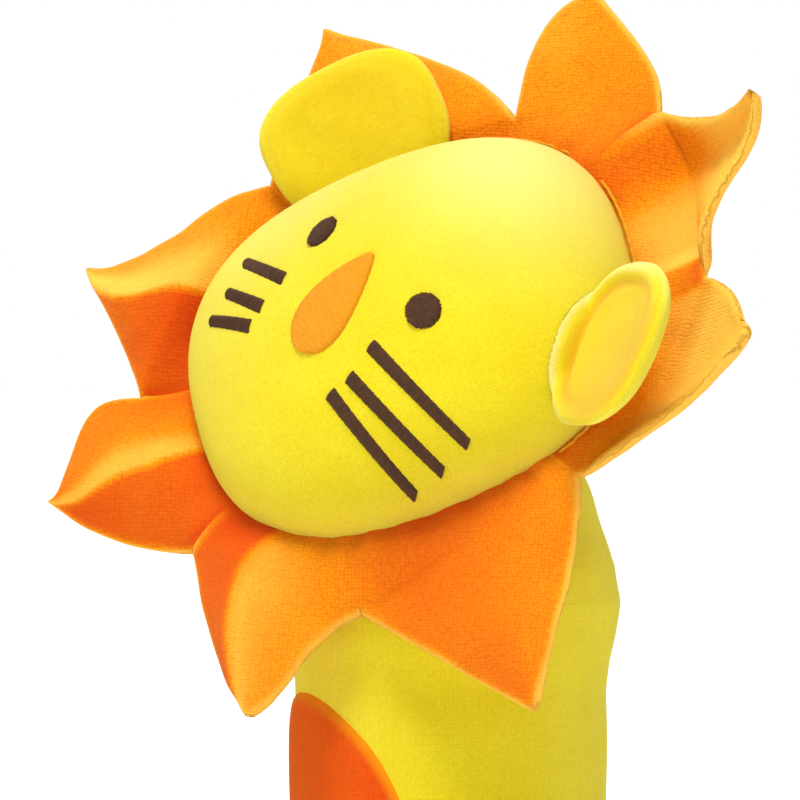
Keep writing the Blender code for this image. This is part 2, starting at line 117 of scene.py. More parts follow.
def make_backdrop():
    """A white dome that only shows behind the object and gives no light."""
    bm = bmesh.new()
    bmesh.ops.create_uvsphere(bm, u_segments=32, v_segments=16, radius=6.5)
    mesh = bpy.data.meshes.new("backdrop")
    bm.to_mesh(mesh)
    bm.free()
    dome = bpy.data.objects.new("backdrop", mesh)
    bpy.context.scene.collection.objects.link(dome)
    material = bpy.data.materials.new("backdrop")
    material.use_nodes = True
    nodes = material.node_tree.nodes
    nodes.remove(nodes["Principled BSDF"])
    glow = nodes.new("ShaderNodeEmission")
    material.node_tree.links.new(glow.outputs[0], nodes["Material Output"].inputs[0])
    mesh.materials.append(material)
    dome.visible_diffuse = dome.visible_glossy = dome.visible_transmission = False
    dome.visible_shadow = dome.visible_volume_scatter = False


def make_stage():
    world = bpy.data.worlds.new("world")
    bpy.context.scene.world = world
    world.use_nodes = True
    background = world.node_tree.nodes["Background"]
    background.inputs["Color"].default_value = (1, 1, 1, 1)
    background.inputs["Strength"].default_value = 0.5
    make_lamp("key_light", 56, 64, 0.9, 0.35, 8.6)
    make_lamp("rim_light", 250, 40, 1.0, 0.6, 3.0)
    mesh = bpy.data.meshes.new("floor")
    half = 12.0
    square = [(-half, -half, 0), (half, -half, 0), (half, half, 0), (-half, half, 0)]
    mesh.from_pydata(square, [], [(0, 1, 2, 3)])
    floor = bpy.data.objects.new("floor", mesh)
    bpy.context.scene.collection.objects.link(floor)
    floor.location.z = -0.0002
    n = Nodes("floor")
    n.put(n.shader.inputs["Base Color"], (0.9, 0.9, 0.9))
    n.put(n.shader.inputs["Roughness"], 0.9)
    # it glows a little more further out, so that it ends in the white behind it
    away = n.node("VectorMath", 1, {"operation": "LENGTH"}, i0=n.node("TexCoord", 3))
    n.put(n.shader.inputs["Emission Color"], (1.0, 1.0, 1.0))
    n.put(n.shader.inputs["Emission Strength"], n.spread(away, 0.06, 0.4, 0.02, 0.75))
    mesh.materials.append(n.material)
    make_backdrop()
    bpy.context.scene.view_settings.view_transform = "Standard"


# ---------------------------------------------------------------- materials


def linear(*channels):
    """A colour given as 0 to 255 display values."""
    share = [c / 255 for c in channels]
    return tuple(c / 12.92 if c <= 0.04045 else ((c + 0.055) / 1.055) ** 2.4 for c in share)


class Nodes:
    """Short calls for building one material's nodes."""

    def __init__(self, name):
        self.material = bpy.data.materials.new(name)
        self.material.use_nodes = True
        self.tree = self.material.node_tree
        self.shader = self.tree.nodes["Principled BSDF"]

    def put(self, socket, value):
        if isinstance(value, bpy.types.NodeSocket):
            self.tree.links.new(value, socket)
        elif isinstance(value, tuple) and socket.type == "RGBA" and len(value) == 3:
            socket.default_value = (*value, 1)
        else:
            socket.default_value = value

    def node(self, kind, out=0, settings=None, **inputs):
        node = self.tree.nodes.new("ShaderNode" + kind)
        for key, value in (settings or {}).items():
            setattr(node, key, value)
        for key, value in inputs.items():
            self.put(node.inputs[int(key[1:])], value)
        return node.outputs[out]

    def attribute(self, name, out):
        return self.node("Attribute", out, {"attribute_name": name})

    def maths(self, operation, a, b=0.0, clamp=False):
        return self.node("Math", 0, {"operation": operation, "use_clamp": clamp}, i0=a, i1=b)

    def spread(self, value, low, high, new_low=0.0, new_high=1.0):
        return self.node("MapRange", 0, None, i0=value, i1=low, i2=high, i3=new_low, i4=new_high)

    def mix(self, share, a, b):
        node = self.tree.nodes.new("ShaderNodeMix")
        node.data_type = "RGBA"
        self.put(node.inputs[0], share)
        self.put(node.inputs[6], a)
        self.put(node.inputs[7], b)
        return node.outputs[2]

    def map(self, vector, scale=(1, 1, 1), turn=(0, 0, 0)):
        return self.node("Mapping", 0, None, i0=vector, i2=turn, i3=scale)

    def noise(self, vector, scale, detail=2.0, rough=0.5):
        return self.node("TexNoise", 0, None, i0=vector, i2=scale, i3=detail, i4=rough)


def cloth_material(name, base, dark, light, deep, pale, pitch, ribs, fuzz, sheen, depth, turn=0.0):
    """Knitted or brushed cloth: rows of stitches at the pitch in mm, soft tone changes, and fuzz.

    The attribute cloth is the place on the cloth in mm. Shade paints light into the colour: 1 is painted
    shade, as in a fold, 0 is the open cloth, and -1 is a painted highlight, as where the pile catches the
    light on an edge.
    """
    n = Nodes(name)
    cloth = n.attribute("cloth", 1)
    shade = n.attribute("shade", 2)
    turned = n.map(cloth, turn=(0, turn, 0))
    stitches = n.map(turned, scale=(1 / pitch, 1 / pitch, 1.25 / pitch))
    dots = n.node("TexVoronoi", 0, {"feature": "SMOOTH_F1"}, i0=stitches, i2=1.0, i6=0.35, i8=0.42)
    lines = n.map(turned, scale=(1 / pitch / 2,) * 3)
    rows = n.node("TexWave", 1, {"bands_direction": "X"}, i0=lines, i1=3.14, i2=1.6, i3=1.0)
    tones = n.noise(cloth, 0.09, 3.0, 0.55)
    fine = n.noise(cloth, 1.1, 4.0, 0.7)
    hairs = n.noise(cloth, 6.0, 3.0, 0.75)
    knit = n.mix(ribs, n.spread(dots, 0.05, 0.75, 1.0, 0.0), rows)
    knit = n.node("RGBToBW", 0, None, i0=knit)
    tone = n.spread(tones, 0.3, 0.72, 0.2, 0.75)
    colour = n.mix(tone, base, light)
    gap = n.maths("MULTIPLY", n.spread(knit, 0.0, 0.7, 1.0, 0.0), n.spread(fine, 0.2, 0.75, 0.35, 0.95))
    colour = n.mix(gap, colour, dark)
    # painted shade towards the deep colour and painted highlight towards the pale colour, as the attribute
    # shade gives
    colour = n.mix(n.spread(shade, 0.0, 1.0, 0.0, 0.85), colour, deep)
    colour = n.mix(n.spread(shade, 0.0, -1.0, 0.0, 0.8), colour, pale)
    n.put(n.shader.inputs["Base Color"], colour)
    height = n.maths("MULTIPLY_ADD", knit, 1.0 - fuzz)
    height.node.inputs[2].default_value = 0.0
    n.put(height.node.inputs[2], n.maths("MULTIPLY", hairs, fuzz * 1.6))
    bump = n.node("Bump", 0, None, i0=0.8, i1=depth, i3=height)
    normal_input = n.shader.inputs["Normal"]
    n.put(normal_input, bump)
    n.shader.inputs["Roughness"].default_value = 0.92
    n.shader.inputs["Specular IOR Level"].default_value = 0.15
    n.shader.inputs["Sheen Weight"].default_value = sheen
    n.shader.inputs["Sheen Roughness"].default_value = 0.45
    n.shader.inputs["Sheen Tint"].default_value = (*pale, 1)
    return n.material


def thread_material(name, base, dark, rough=0.55):
    """Twisted embroidery thread: twist along its length, from the attribute cloth in mm."""
    n = Nodes(name)
    cloth = n.attribute("cloth", 1)
    twist = n.node("TexWave", 1, {"bands_direction": "DIAGONAL"}, i0=cloth, i1=4.5, i2=1.2, i3=2.0)
    tone = n.noise(cloth, 0.8, 3.0, 0.6)
    colour = n.mix(n.spread(tone, 0.3, 0.7), base, dark)
    colour = n.mix(n.spread(twist, 0.0, 1.0, 0.45, 0.0), colour, dark)
    n.put(n.shader.inputs["Base Color"], colour)
    n.put(n.shader.inputs["Normal"], n.node("Bump", 0, None, i0=0.6, i1=0.00006, i3=twist))
    n.shader.inputs["Roughness"].default_value = rough
    n.shader.inputs["Specular IOR Level"].default_value = 0.3
    return n.material


YELLOW = cloth_material(
    "yellow_plush",
    base=linear(236, 214, 4), dark=linear(214, 182, 2), light=linear(248, 234, 44),
    deep=linear(226, 150, 2), pale=linear(255, 250, 168),
    pitch=0.55, ribs=0.45, fuzz=0.55, sheen=0.4, depth=0.00022,
)
ORANGE = cloth_material(
    "orange_cloth",
    base=linear(240, 136, 2), dark=linear(222, 84, 2), light=linear(248, 166, 8),
    deep=linear(216, 52, 2), pale=linear(252, 208, 84),
    pitch=0.62, ribs=0.2, fuzz=0.3, sheen=0.12, depth=0.0003, turn=0.6,
)
RED_ORANGE = cloth_material(
    "red_orange_cloth",
    base=linear(226, 72, 2), dark=linear(200, 46, 2), light=linear(236, 94, 4),
    deep=linear(192, 38, 2), pale=linear(252, 168, 12),
    pitch=0.55, ribs=0.3, fuzz=0.5, sheen=0.5, depth=0.00022,
)
BROWN_THREAD = thread_material("brown_thread", linear(96, 58, 26), linear(60, 34, 16))
ORANGE_THREAD = thread_material("orange_thread", linear(253, 178, 20), linear(240, 150, 8))
YELLOW_THREAD = thread_material("yellow_thread", linear(238, 214, 40), linear(214, 182, 20))
SEAM_THREAD = thread_material("seam_thread", linear(238, 178, 14), linear(214, 140, 8))


def wood_material():
    n = Nodes("birch")
    place = n.node("TexCoord", 3)
    grain = n.noise(n.map(place, scale=(900, 900, 40)), 1.0, 4.0, 0.6)
    colour = n.mix(n.spread(grain, 0.3, 0.7), linear(232, 204, 156), linear(204, 168, 116))
    n.put(n.shader.inputs["Base Color"], colour)
    n.put(n.shader.inputs["Normal"], n.node("Bump", 0, None, i0=0.4, i1=0.0001, i3=grain))
    n.shader.inputs["Roughness"].default_value = 0.6
    return n.material


# ---------------------------------------------------------------- mesh helpers


def piece(name, points, faces, place, material, cloth=None, shade=None):
    """A smooth mesh from points in mm in the place's frame."""
    points = np.asarray(points, float)
    mesh = bpy.data.meshes.new(name)
    matrix = np.array(place)
    world = (points * MM) @ matrix[:3, :3].T + matrix[:3, 3]
    mesh.from_pydata(world.tolist(), [], [tuple(int(i) for i in face) for face in faces])
    mesh.shade_smooth()
    mesh.materials.append(material)
    mark(mesh, points if cloth is None else cloth, shade)
    obj = bpy.data.objects.new(name, mesh)
    bpy.context.scene.collection.objects.link(obj)
    return obj


def mark(mesh, cloth, shade):
    """Writes the cloth's place in mm and its shade onto the points."""
    mesh.attributes.new("cloth", "FLOAT_VECTOR", "POINT").data.foreach_set(
        "vector", np.asarray(cloth, np.float32).ravel()
    )
    values = np.zeros(len(mesh.vertices), np.float32) if shade is None else np.asarray(shade, np.float32)
    mesh.attributes.new("shade", "FLOAT", "POINT").data.foreach_set("value", values)


def grid_faces(rows, columns, wrap=False, start=0, flip=False):
    faces = []
    for i in range(rows - 1):
        for j in range(columns if wrap else columns - 1):
            k = (j + 1) % columns
            a, b = start + i * columns + j, start + i * columns + k
            c, d = start + (i + 1) * columns + k, start + (i + 1) * columns + j
            faces.append((a, d, c, b) if flip else (a, b, c, d))
    return faces


def smooth_step(value):
    value = np.clip(value, 0.0, 1.0)
    return value * value * (3 - 2 * value)


def wrinkle(x, y, z, scale, seed):
    """Smooth noise from -1 to 1 at a point in mm."""
    return noise.noise(Vector((x / scale + seed, y / scale - seed, z / scale + 2.3 * seed)))


def tubes(name, paths, radius, place, material, sides=6):
    """Closed round threads along paths of points in mm."""
    points, faces, cloth = [], [], []
    for number, path in enumerate(paths):
        path = [Vector(p) for p in path]
        start = len(points)
        run = 0.0
        side = None
        for i, middle in enumerate(path):
            ahead = path[min(i + 1, len(path) - 1)] - path[max(i - 1, 0)]
            ahead.normalize()
            if side is None:
                side = ahead.orthogonal().normalized()
            side = (side - ahead * side.dot(ahead)).normalized()
            other = ahead.cross(side)
            if i:
                run += (middle - path[i - 1]).length
            for j in range(sides):
                angle = 2 * math.pi * j / sides
                points.append(middle + (side * math.cos(angle) + other * math.sin(angle)) * radius)
                cloth.append((run, j * radius, number * 1.7))
        faces += grid_faces(len(path), sides, wrap=True, start=start)
        faces.append(tuple(start + j for j in reversed(range(sides))))
        last = start + (len(path) - 1) * sides
        faces.append(tuple(last + j for j in range(sides)))
    return piece(name, points, faces, place, material, cloth)


# ---------------------------------------------------------------- cloth simulation

SIM_SCALE = 10.0
SIM_FRAMES = 20


def inflate(obj, hold, pressure, cap):
    """Blows the cloth up a little. Hold is 1 where it is pinned; no point moves past the cap in mm."""
    mesh = obj.data
    count = len(mesh.vertices)
    rest = np.zeros(count * 3)
    mesh.vertices.foreach_get("co", rest)
    rest = rest.reshape(-1, 3)
    mesh.vertices.foreach_set("co", (rest * SIM_SCALE).ravel())
    group = obj.vertex_groups.new(name="hold")
    for i, weight in enumerate(hold):
        group.add([i], float(weight), "REPLACE")
    modifier = obj.modifiers.new("cloth", "CLOTH")
    settings = modifier.settings
    settings.quality = 6
    settings.vertex_group_mass = "hold"
    settings.pin_stiffness = 4.0
    settings.mass = 0.3
    settings.tension_stiffness = settings.compression_stiffness = 12.0
    settings.shear_stiffness = 6.0
    settings.bending_stiffness = 0.4
    settings.use_pressure = True
    settings.uniform_pressure_force = pressure
    settings.effector_weights.gravity = 0.0
    modifier.collision_settings.use_collision = False
    modifier.point_cache.frame_start = 1
    modifier.point_cache.frame_end = SIM_FRAMES
    scene = bpy.context.scene
    for step in range(1, SIM_FRAMES + 1):
        scene.frame_set(step)
    evaluated = obj.evaluated_get(bpy.context.evaluated_depsgraph_get())
    blown = np.zeros(count * 3)
    evaluated.data.vertices.foreach_get("co", blown)
    blown = blown.reshape(-1, 3) / SIM_SCALE
    obj.modifiers.remove(modifier)
    obj.vertex_groups.remove(group)
    scene.frame_set(1)
    move = blown - rest
    length = np.linalg.norm(move, axis=1, keepdims=True)
    move *= np.minimum(1.0, cap * MM / np.maximum(length, 1e-12))
    mesh.vertices.foreach_set("co", (rest + move).ravel())
    mesh.update()
    print(f"{obj.name}: moved up to {length.max() / MM:.2f} mm before the cap")


# ---------------------------------------------------------------- head


def fullness_norm(x, z):
    return (np.abs(x) ** FULLNESS + np.abs(z) ** FULLNESS) ** (1 / FULLNESS)


def leaned(across, along):
    """From the ovoid's own axes to the head's x and z."""
    return (
        OVOID_MIDDLE[0] + across * math.cos(LEAN) + along * math.sin(LEAN),
        OVOID_MIDDLE[1] - across * math.sin(LEAN) + along * math.cos(LEAN),
    )


def unleaned(x, z):
    x, z = x - OVOID_MIDDLE[0], z - OVOID_MIDDLE[1]
    return x * math.cos(LEAN) - z * math.sin(LEAN), x * math.sin(LEAN) + z * math.cos(LEAN)


def outline_share(x, z):
    """How far out a point of the seam's plane is: 1 on the head's seam."""
    across, along = unleaned(x, z)
    return fullness_norm(across / HALF_WIDTH, along / HALF_HEIGHT)


def disc_grid(steps):
    """A square grid of points pressed into a unit disc, as arrays x and z, with no pole."""
    line = np.linspace(-1, 1, steps)
    u, v = np.meshgrid(line, line)
    return u * np.sqrt(1 - v * v / 2), v * np.sqrt(1 - u * u / 2)


def flat_disc(steps):
    """The disc's points as flat arrays x, z and their distance from the middle."""
    x, z = (values.ravel() for values in disc_grid(steps))
    return x, z, np.clip(np.hypot(x, z), 0, 1)


def rim_loop(steps):
    """The indices of the grid's border, in order."""
    low = list(range(steps))
    right = [i * steps + steps - 1 for i in range(1, steps)]
    top = [(steps - 1) * steps + j for j in range(steps - 2, -1, -1)]
    left = [i * steps for i in range(steps - 2, 0, -1)]
    return low + right + top + left


HEAD_STEPS = 84
SEAM_SINK = 0.55
SEAM_POINTS = 240
MEAN_RADIUS = 32


def make_dome(name, depth, side, steps=HEAD_STEPS):
    """One of the head's two panels: side -1 is the face, 1 is the back."""
    x, z = disc_grid(steps)
    radius = np.hypot(x, z)
    safe = np.maximum(radius, 1e-9)
    from_seam = (1 - np.minimum(radius, 1)) * math.pi / 2
    out = np.cos(from_seam) ** BULGE_POWER
    up = np.sin(from_seam)
    fuller = 1 / fullness_norm(x / safe, z / safe)
    across = x / safe * fuller * HALF_WIDTH * out
    along = z / safe * fuller * HALF_HEIGHT * out
    px, pz = leaned(across, along)
    py = side * (0.25 + (depth - 0.25) * up)
    points = np.stack([px.ravel(), py.ravel(), pz.ravel()], 1)
    # the rim is drawn in at the seam, with small puckers
    sink = np.exp(-((from_seam.ravel() / 0.07) ** 2))
    angle = np.arctan2(z, x).ravel()
    pucker = 0.5 + 0.5 * np.sin(angle * 46 + 2.2 * np.sin(angle * 5))
    factor = 1 - (SEAM_SINK + 0.1 * pucker) * sink / MEAN_RADIUS
    points[:, 0] *= factor
    points[:, 2] *= factor
    lumps = np.array([wrinkle(*p, 16.0, 5.2 + side) for p in points])
    points[:, 1] += side * 0.45 * lumps * np.sin(from_seam.ravel())
    faces = grid_faces(steps, steps, flip=side > 0)
    loop = rim_loop(steps)
    start = len(points)
    tuck = points[loop] * (0.94, 0.2, 0.94)
    points = np.concatenate([points, tuck])
    for i in range(len(loop)):
        j = (i + 1) % len(loop)
        quad = (loop[i], start + i, start + j, loop[j])
        faces.append(quad[::-1] if side > 0 else quad)
    hold = np.zeros(len(points))
    hold[: steps * steps] = np.clip(1.2 - from_seam.ravel() / 0.05, 0, 1)
    hold[start:] = 1
    # painted shade where the cloth is drawn into the seam, and full painted shade on the tuck inside it
    shade = np.zeros(len(points))
    shade[: steps * steps] = 0.55 * np.exp(-((from_seam.ravel() / 0.06) ** 2))
    shade[start:] = 1
    if side < 0:
        # painted highlights make the forehead, where the light from above falls, and the face's right side
        # paler
        shade -= 0.7 * np.exp(-(((points[:, 0] + 3) / 19) ** 2) - ((points[:, 2] - 30) / 13) ** 2)
        shade -= 0.4 * np.exp(-(((points[:, 0] + 24) / 9) ** 2) - ((points[:, 2] - 8) / 20) ** 2)
    # the cloth's own place runs along the bulge, so its stitches keep their size
    arc = 1 - 2 / math.pi * from_seam
    flat = np.stack([(x / safe * arc * 44).ravel(), 0 * x.ravel(), (z / safe * arc * 48).ravel()], 1)
    flat = np.concatenate([flat, flat[loop]])
    obj = piece(name, points, faces, HEAD, YELLOW, flat, shade)
    return obj, hold


def make_face_seam():
    """The thread that shows all round the face where it is sewn to the mane."""
    path = []
    for i in range(SEAM_POINTS + 1):
        angle = 2 * math.pi * i / SEAM_POINTS
        s, c = math.sin(angle), math.cos(angle)
        reach = (1 + 0.15 / MEAN_RADIUS) / fullness_norm(s, c)
        x, z = leaned(s * reach * HALF_WIDTH, c * reach * HALF_HEIGHT)
        path.append((x, -1.3 - 0.2 * math.sin(angle * 90), z))
    seam = tubes("face_seam", [path], 0.24, HEAD, SEAM_THREAD)
    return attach(seam, "head")


def surface_of(obj, place):
    """A function from x, z and a lift, in mm, to the point on the object's front, in the place's frame."""
    tree = BVHTree.FromObject(obj, bpy.context.evaluated_depsgraph_get())
    back = place.inverted()
    ahead = (place.to_3x3() @ Vector((0, 1, 0))).normalized()
    turn = back.to_3x3()

    def drop(x, z, lift=0.0):
        origin = place @ (Vector((x, -80, z)) * MM)
        hit, normal, _, _ = tree.ray_cast(origin, ahead)
        if hit is None:
            raise ValueError(f"no surface at {x:.1f}, {z:.1f}")
        if normal.dot(ahead) > 0:
            normal = -normal
        return (back @ hit) / MM + (turn @ normal).normalized() * lift

    return drop


# ---------------------------------------------------------------- embroidery

THREAD_RADIUS = 0.21
THREAD_PITCH = 0.33


def satin(ends, drop, lift=0.22, arch=0.34):
    """One raised stitch for each pair of ends, each dipping into the cloth at both ends."""
    paths = []
    for (x0, z0), (x1, z1) in ends:
        length = math.hypot(x1 - x0, z1 - z0)
        steps = max(5, int(length / 0.7) + 3)
        path = []
        for i in range(steps + 1):
            share = i / steps
            rise = min(1.0, math.sin(math.pi * share) * max(1.0, length / 2.2)) ** 0.6 if 0 < share < 1 else 0
            path.append(drop(x0 + (x1 - x0) * share, z0 + (z1 - z0) * share, -0.12 + (lift + arch) * rise))
        paths.append(path)
    return paths


def embroider(name, node, paths, material):
    obj = tubes(name, paths, THREAD_RADIUS, HEAD, material)
    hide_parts(node)
    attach(obj, "head")


def wobble(i, amount, seed=0.0):
    return amount * math.sin(i * 2.4 + seed) * math.cos(i * 1.13 + 2 * seed)


EYE_RADIUS = 2.6
# each eye's middle, and how wide it is for its height
EYES = {"left": (10.2, 4.2, 1.0), "right": (-12.7, 3.9, 0.72)}
NOSE_MIDDLE = -2.2
NOSE_TOP = 6.0
NOSE_BOTTOM = -11.3
NOSE_HALF_WIDTH = 4.8
WHISKER_HALF_WIDTH = 0.95
WHISKER_PITCH = 0.3
WHISKERS = {
    "left": (((7.2, -4.4), (24.2, -6.8)), ((7.1, -9.8), (22.6, -12.2)), ((5.9, -13.4), (20.4, -17.3))),
    "right": (
        ((-12.4, -4.8), (-21.8, -6.5)),
        ((-12.7, -9.9), (-20.8, -11.5)),
        ((-12.6, -13.2), (-20.8, -16.1)),
    ),
}


def make_eye(name, place, drop):
    x, height, width = place
    rows = int(2 * EYE_RADIUS / THREAD_PITCH)
    ends = []
    for i in range(rows + 1):
        z = -EYE_RADIUS + 2 * EYE_RADIUS * (i + 0.5) / (rows + 1)
        half = width * math.sqrt(max(0.0, EYE_RADIUS**2 - z * z)) + wobble(i, 0.08, x)
        ends.append(((x - half, height + z), (x + half, height + z)))
    embroider(name, name, satin(ends, drop), BROWN_THREAD)


def make_nose(drop):
    half = (NOSE_TOP - NOSE_BOTTOM) / 2
    rows = int(2 * half / THREAD_PITCH)
    ends = []
    for i in range(rows + 1):
        z = -half + 2 * half * (i + 0.5) / (rows + 1)
        t = math.asin(max(-1.0, min(1.0, z / half)))
        width = NOSE_HALF_WIDTH * math.cos(t) * (1 - 0.62 * (1 + math.sin(t)) / 2) * 1.22
        width += wobble(i, 0.07)
        height = NOSE_BOTTOM + half + z
        ends.append(((NOSE_MIDDLE - width, height), (NOSE_MIDDLE + width, height)))
    embroider("nose", "nose_patch", satin(ends, drop), ORANGE_THREAD)


def even_shares(a, b, drop):
    """Shares of the way from a to b that are evenly spaced on the cloth itself."""
    shares = np.linspace(0, 1, 41)
    places = [drop(*(a + (b - a) * t), 0.0) for t in shares]
    steps = [math.dist(p, q) for p, q in zip(places, places[1:])]
    run = np.concatenate([[0], np.cumsum(steps)])
    count = int(run[-1] / WHISKER_PITCH)
    return np.interp(np.linspace(0, run[-1], count + 1), run, shares)


def make_whisker(name, inner, outer, drop):
    a, b = Vector(inner), Vector(outer)
    along = (b - a).normalized()
    across = Vector((-along.y, along.x))
    ends = []
    for i, share in enumerate(even_shares(a, b, drop)):
        middle = a + (b - a) * share
        half = WHISKER_HALF_WIDTH * (1 - 0.2 * share) + wobble(i, 0.05, a.y)
        low = middle - across * half + along * 0.12
        high = middle + across * half - along * 0.12
        ends.append(((low.x, low.y), (high.x, high.y)))
    embroider(name, name, satin(ends, drop, 0.18, 0.26), BROWN_THREAD)


# ---------------------------------------------------------------- mane

CLOTH_HALF = 0.85
# the corners between petals, in mm: left, forward and up from the middle of the head
VALLEYS = (
    (8.3, 0.0, 47.8), (33.4, 3.0, 33.1), (37.1, 1.0, -0.4), (21.9, 0.0, -35.6),
    (-7.1, 0.0, -44.2), (-31.2, 0.0, -31.6), (-36.3, 0.0, 4.3), (-11.2, -1.0, 34.2),
)
# how far the cloth stands forward, in mm, halfway from the head's seam to each of those corners
RIDGES = (2.2, -3.0, 0.6, 2.6, 2.4, -1.4, 0.0, -1.2)
# each petal's tip; how far its two edges bow out, near the valley and near the tip; its fold, which is how
# far a line stands forward of the edges; where between them the line runs, from -1 to 1, at the head's
# seam and at the tip; and how blunt its tip is: the share of the way the edges run, and the bulge past that.
# Then its painted light, from -1, a painted highlight, to 1, painted shade: on the low and the high side of
# the fold;
# on a pale crest beside the fold, as its side, its tone and its width; and the painted tone the tip and the
# root add
Petal = namedtuple("Petal", "tip bows fold line blunt tones crest tip_tone root_tone")
PETALS = (
    Petal((-12.6, 0.0, 55.7), ((1.5, 3.6), (1.7, 0.4)), 1.0, (0.1, 0.0), (0.97, 0.4),
          (0.0, 0.2), (-1, 0.0, 0.3), -0.1, 0.4),
    Petal((25.9, 13.0, 58.2), ((-0.7, -1.4), (-3.6, 1.8)), -6.5, (-0.35, 0.1), (0.975, 0.3),
          (0.35, -0.7), (1, 0.0, 0.3), -1.0, 0.4),
    Petal((48.4, 11.0, 30.7), ((1.3, 0.2), (-0.3, 1.3)), -5.5, (0.1, 0.3), (0.85, 2.6),
          (-0.8, -0.6), (1, 0.0, 0.3), -0.9, 1.0),
    Petal((57.0, 3.0, -30.5), ((0.8, 0.0), (-0.1, 0.0)), 1.6, (-0.2, -0.2), (0.96, 0.5),
          (0.25, 0.55), (1, 0.0, 0.3), -0.05, 0.4),
    Petal((20.5, 4.0, -57.1), ((-2.1, 0.5), (0.5, 1.2)), 5.5, (0.2, 0.5), (0.97, 0.4),
          (-0.05, 0.8), (-1, -0.45, 0.5), 0.0, 0.4),
    Petal((-29.8, 3.0, -51.6), ((1.0, 1.1), (4.8, -0.3)), 5.5, (0.0, -0.5), (0.97, 0.4),
          (0.75, 0.25), (1, -0.75, 0.3), 0.1, 0.2),
    Petal((-49.5, 4.0, -21.5), ((-0.4, 0.0), (1.6, -2.5)), 6.5, (-0.05, -0.85), (0.955, 0.6),
          (0.8, 0.0), (1, -0.95, 0.45), -0.2, 0.3),
    Petal((-47.2, -2.0, 27.2), ((0.4, -0.7), (2.5, 0.2)), 2.2, (0.0, 0.0), (0.97, 0.4),
          (0.1, 0.0), (1, 0.0, 0.3), -0.1, 0.4),
)
# the borders where one petal lies over the next: which of its sides, the painted tone of the edge there
# (below 0 a painted highlight, above 0 painted shade), and how far inside it the edge lies, with painted
# shadow on the cloth under it
LAPS = {
    0: ((1, 0.5, 0),),
    1: ((-1, -1.0, 0), (1, -1.2, 0.35)),
    2: ((-1, 1.2, 0),),
    4: ((1, -1.3, 0),),
    5: ((-1, 0.4, 0), (1, -0.8, 0)),
    6: ((-1, 0.4, 0),),
}
INNER_SHARE = 0.9
BAND_ROWS = 18
PETAL_ROWS = 36
HALF_COLUMNS = 16
RIDGE_ROUNDING = 0.1
BOWL_ROUNDING = 0.7
CREASE = 3.0


def back_of(point):
    """A point given as left, forward and up, as x, y and z."""
    left, forward, up = point
    return np.array((left, -forward, up))


def corners(index):
    """A petal's two valleys and its tip."""
    low, high = VALLEYS[(index - 1) % len(VALLEYS)], VALLEYS[index]
    return back_of(low), back_of(high), back_of(PETALS[index].tip)


def side_curve(valley, tip, bows, side, share):
    """A petal's edge from valley to tip, bowed out in the seam's plane; side is -1 on its low side, or 1."""
    along = tip - valley
    across = np.array((along[2], 0.0, -along[0]))
    across *= side / np.linalg.norm(across)
    out = 6.75 * (bows[0] * share * (1 - share) ** 2 + bows[1] * share**2 * (1 - share))
    point = valley + along * share + across * out
    point[1] = valley[1] + along[1] * share**1.6
    return point


def edge_distance(points, edges):
    """Each point's distance in the seam's plane to the nearest of the mane's outer edges."""
    best = np.full(len(points), 1e9)
    flat = points[:, (0, 2)]
    for a, b in edges:
        a, b = a[[0, 2]], b[[0, 2]]
        d = b - a
        t = np.clip(((flat - a) @ d) / (d @ d), 0, 1)
        best = np.minimum(best, np.linalg.norm(flat - a - t[:, None] * d, axis=1))
    return best


def roof(columns, line, e):
    """A fold's height across a petal: 1 on its line and 0 at both edges, with its top rounded by e."""
    t = np.where(columns < line, (columns + 1) / (line + 1), (1 - columns) / (1 - line))
    whole = math.sqrt(1 + e * e)
    return (whole - np.sqrt((1 - t) ** 2 + e * e)) / (whole - e)


def on_line(columns, line):
    """Columns from -1 to 1, drawn aside so that the middle one runs along a line."""
    return np.where(columns < 0, (columns + 1) * (line + 1) - 1, line + columns * (1 - line))


def mane_sector(index):
    """The middle surface of one petal and its share of the band, as a grid of rows and columns."""
    low, high, tip = corners(index)
    shape = PETALS[index]
    share = np.linspace(0, 1, HALF_COLUMNS + 1) ** 1.7
    columns = np.concatenate([-1 + share, (1 - share)[::-1][1:]])
    angle_low = math.atan2(*unleaned(low[0], low[2]))
    angle_high = math.atan2(*unleaned(high[0], high[2]))
    while angle_high < angle_low:
        angle_high += 2 * math.pi
    seam_line, tip_line = shape.line
    inner = []
    for c in on_line(columns, seam_line):
        t = angle_low + (angle_high - angle_low) * (c + 1) / 2
        s, k = math.sin(t), math.cos(t)
        reach = INNER_SHARE / fullness_norm(s / HALF_WIDTH, k / HALF_HEIGHT)
        x, z = leaned(s * reach, k * reach)
        inner.append((x, 0.0, z))
    inner = np.array(inner)
    w = ((on_line(columns, seam_line) + 1) / 2)[:, None]
    chord = low * (1 - w) + high * w
    rows = []
    ridges = RIDGES[(index - 1) % len(RIDGES)] * (1 - w[:, 0]) ** 3 + RIDGES[index] * w[:, 0] ** 3
    end_reach, end_bulge = shape.blunt
    rounding = RIDGE_ROUNDING if shape.fold > CREASE else BOWL_ROUNDING
    out = tip - (low + high) / 2
    out /= np.linalg.norm(out)
    for i in range(BAND_ROWS + PETAL_ROWS + 1):
        if i < BAND_ROWS:
            v = i / BAND_ROWS
            row = inner * (1 - v) + chord * v
            rise, line = 0.1 + 0.9 * smooth_step(v), seam_line
            row[:, 1] -= ridges * math.sin(math.pi * v) ** 0.8 if v > 0 else 0
        else:
            v = (i - BAND_ROWS) / PETAL_ROWS
            reach = end_reach * v**0.92
            left = side_curve(low, tip, shape.bows[0], -1, reach)
            right = side_curve(high, tip, shape.bows[1], 1, reach)
            line = seam_line + (tip_line - seam_line) * v
            w = ((on_line(columns, line) + 1) / 2)[:, None]
            row = left * (1 - w) + right * w
            row += out * (end_bulge * v**4 * (1 - (2 * w - 1) ** 2))
            rise = 1 - 0.75 * v**2
        row[:, 1] -= shape.fold * rise * roof(on_line(columns, line), line, rounding)
        rows.append(row)
    return np.array(rows), columns


